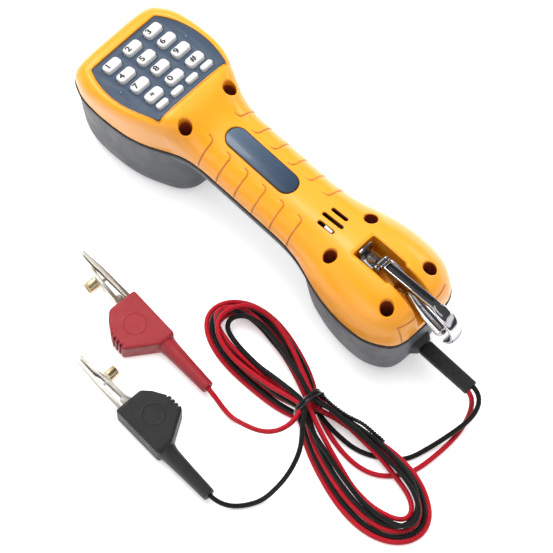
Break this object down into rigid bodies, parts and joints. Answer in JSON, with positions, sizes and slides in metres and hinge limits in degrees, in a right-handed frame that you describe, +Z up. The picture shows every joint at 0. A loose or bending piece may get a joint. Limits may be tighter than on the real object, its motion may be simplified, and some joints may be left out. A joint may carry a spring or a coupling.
{
  "type": "telephone line test handset",
  "caption": "Line test handset with a keypad in its back, ear and mouth cups, a chrome snap hook, and two hanked leads with booted clips.",
  "frame": {"origin": "middle of the handset and its snap hook, on the surface that the two cups rest on", "axes": "+X towards the cord and the snap hook, +Y to the right of the keypad digits, +Z up out of the keypad"},
  "size_m": [0.3307, 0.1893, 0.0872],
  "materials": {
    "shell_yellow": "satin gloss",
    "shell_grey": "fine satin",
    "gasket_black": "matte",
    "panel_blue": "satin",
    "key_white": null,
    "lamp_clear": "clear, dim",
    "rubber_black": "matte",
    "board_green": "satin",
    "steel": "satin",
    "chrome": "polished",
    "nickel": "polished nickel plate",
    "brass": "polished",
    "boot_red": "satin vinyl",
    "boot_black": "satin vinyl",
    "lead_red": "fine braid",
    "lead_black": "fine braid",
    "tie_black": "glossy twist tie"
  },
  "bodies": {
    "handset": {"upper_shell": "shell_yellow", "lower_shell": "shell_grey", "shell_gasket": "gasket_black", "ear_grille": "shell_grey", "mouth_grille": "shell_grey", "ear_receiver": "rubber_black", "microphone": "steel", "sounder": "rubber_black", "label_plate": "panel_blue", "shell_screw_1": "steel", "shell_screw_2": "steel", "shell_screw_3": "steel", "shell_screw_4": "steel", "shell_screw_5": "steel", "shell_screw_6": "steel", "keypad_panel": "panel_blue", "keypad_membrane": "rubber_black", "main_board": "board_green", "lamp_left": "lamp_clear", "lamp_right": "lamp_clear", "clip_bracket": "chrome", "clip_screw": "steel", "cord_flange": "rubber_black", "strain_relief": "rubber_black", "red_lead_start": "lead_red", "black_lead_start": "lead_black", "red_lead_end": "lead_red", "black_lead_end": "lead_black", "lead_hank": "lead_black", "hank_tie": "tie_black", "red_clip_boot": "boot_red", "red_fixed_jaw": "nickel", "red_jaw_pin": "steel", "red_nail_bed": "brass", "black_clip_boot": "boot_black", "black_fixed_jaw": "nickel", "black_jaw_pin": "steel", "black_nail_bed": "brass"},
    "key_1": {"key_1": "key_white"},
    "key_2": {"key_2": "key_white"},
    "key_3": {"key_3": "key_white"},
    "key_4": {"key_4": "key_white"},
    "key_5": {"key_5": "key_white"},
    "key_6": {"key_6": "key_white"},
    "key_7": {"key_7": "key_white"},
    "key_8": {"key_8": "key_white"},
    "key_9": {"key_9": "key_white"},
    "key_star": {"key_star": "key_white"},
    "key_0": {"key_0": "key_white"},
    "key_hash": {"key_hash": "key_white"},
    "function_key_1": {"function_key_1": "key_white"},
    "function_key_2": {"function_key_2": "key_white"},
    "function_key_3": {"function_key_3": "key_white"},
    "function_key_4": {"function_key_4": "key_white"},
    "talk_switch": {"talk_switch": "key_white"},
    "clip_swivel": {"clip_swivel": "chrome"},
    "snap_hook": {"snap_hook": "chrome"},
    "snap_gate": {"snap_gate": "chrome"},
    "red_moving_jaw": {"red_moving_jaw": "nickel"},
    "black_moving_jaw": {"black_moving_jaw": "nickel"}
  },
  "joints": [
    {"name": "key_1_press", "type": "slide", "parent": "handset", "child": "key_1", "axis": [0.2924, 0, -0.9563], "range_m": [0, 0.0015], "stiffness_N_per_m": 300, "springref_m": -0.001},
    {"name": "key_2_press", "type": "slide", "parent": "handset", "child": "key_2", "axis": [0.2924, 0, -0.9563], "range_m": [0, 0.0015], "stiffness_N_per_m": 300, "springref_m": -0.001},
    {"name": "key_3_press", "type": "slide", "parent": "handset", "child": "key_3", "axis": [0.2924, 0, -0.9563], "range_m": [0, 0.0015], "stiffness_N_per_m": 300, "springref_m": -0.001},
    {"name": "key_4_press", "type": "slide", "parent": "handset", "child": "key_4", "axis": [0.2924, 0, -0.9563], "range_m": [0, 0.0015], "stiffness_N_per_m": 300, "springref_m": -0.001},
    {"name": "key_5_press", "type": "slide", "parent": "handset", "child": "key_5", "axis": [0.2924, 0, -0.9563], "range_m": [0, 0.0015], "stiffness_N_per_m": 300, "springref_m": -0.001},
    {"name": "key_6_press", "type": "slide", "parent": "handset", "child": "key_6", "axis": [0.2924, 0, -0.9563], "range_m": [0, 0.0015], "stiffness_N_per_m": 300, "springref_m": -0.001},
    {"name": "key_7_press", "type": "slide", "parent": "handset", "child": "key_7", "axis": [0.2924, 0, -0.9563], "range_m": [0, 0.0015], "stiffness_N_per_m": 300, "springref_m": -0.001},
    {"name": "key_8_press", "type": "slide", "parent": "handset", "child": "key_8", "axis": [0.2924, 0, -0.9563], "range_m": [0, 0.0015], "stiffness_N_per_m": 300, "springref_m": -0.001},
    {"name": "key_9_press", "type": "slide", "parent": "handset", "child": "key_9", "axis": [0.2924, 0, -0.9563], "range_m": [0, 0.0015], "stiffness_N_per_m": 300, "springref_m": -0.001},
    {"name": "key_star_press", "type": "slide", "parent": "handset", "child": "key_star", "axis": [0.2924, 0, -0.9563], "range_m": [0, 0.0015], "stiffness_N_per_m": 300, "springref_m": -0.001},
    {"name": "key_0_press", "type": "slide", "parent": "handset", "child": "key_0", "axis": [0.2924, 0, -0.9563], "range_m": [0, 0.0015], "stiffness_N_per_m": 300, "springref_m": -0.001},
    {"name": "key_hash_press", "type": "slide", "parent": "handset", "child": "key_hash", "axis": [0.2924, 0, -0.9563], "range_m": [0, 0.0015], "stiffness_N_per_m": 300, "springref_m": -0.001},
    {"name": "function_key_1_press", "type": "slide", "parent": "handset", "child": "function_key_1", "axis": [0.2924, 0, -0.9563], "range_m": [0, 0.0015], "stiffness_N_per_m": 300, "springref_m": -0.001},
    {"name": "function_key_2_press", "type": "slide", "parent": "handset", "child": "function_key_2", "axis": [0.2924, 0, -0.9563], "range_m": [0, 0.0015], "stiffness_N_per_m": 300, "springref_m": -0.001},
    {"name": "function_key_3_press", "type": "slide", "parent": "handset", "child": "function_key_3", "axis": [0.2924, 0, -0.9563], "range_m": [0, 0.0015], "stiffness_N_per_m": 300, "springref_m": -0.001},
    {"name": "function_key_4_press", "type": "slide", "parent": "handset", "child": "function_key_4", "axis": [0.2924, 0, -0.9563], "range_m": [0, 0.0015], "stiffness_N_per_m": 300, "springref_m": -0.001},
    {"name": "talk_switch_slide", "type": "slide", "parent": "handset", "child": "talk_switch", "axis": [-1, 0, 0], "range_m": [0, 0.004]},
    {"name": "hook_fold", "type": "hinge", "parent": "handset", "child": "clip_swivel", "pos_m": [0.081, 0, 0.078], "axis": [0, -1, 0], "range_deg": [0, 95]},
    {"name": "hook_swivel", "type": "hinge", "parent": "clip_swivel", "child": "snap_hook", "pos_m": [0.081, 0, 0.078], "axis": [1, 0, 0], "range_deg": [-10, 10]},
    {"name": "gate_open", "type": "hinge", "parent": "snap_hook", "child": "snap_gate", "pos_m": [0.0982, 0, 0.0744], "axis": [0, -1, 0], "range_deg": [0, 14], "stiffness_Nm_per_rad": 0.02, "springref_deg": -20.05},
    {"name": "red_jaw_open", "type": "hinge", "parent": "handset", "child": "red_moving_jaw", "pos_m": [-0.02577, -0.09759, 0.0069], "axis": [0, 0, -1], "range_deg": [0, 15], "stiffness_Nm_per_rad": 0.5, "springref_deg": -8.59},
    {"name": "black_jaw_open", "type": "hinge", "parent": "handset", "child": "black_moving_jaw", "pos_m": [0.02162, -0.14088, 0.0069], "axis": [0, 0, 1], "range_deg": [0, 15], "stiffness_Nm_per_rad": 0.5, "springref_deg": -8.59}
  ]
}
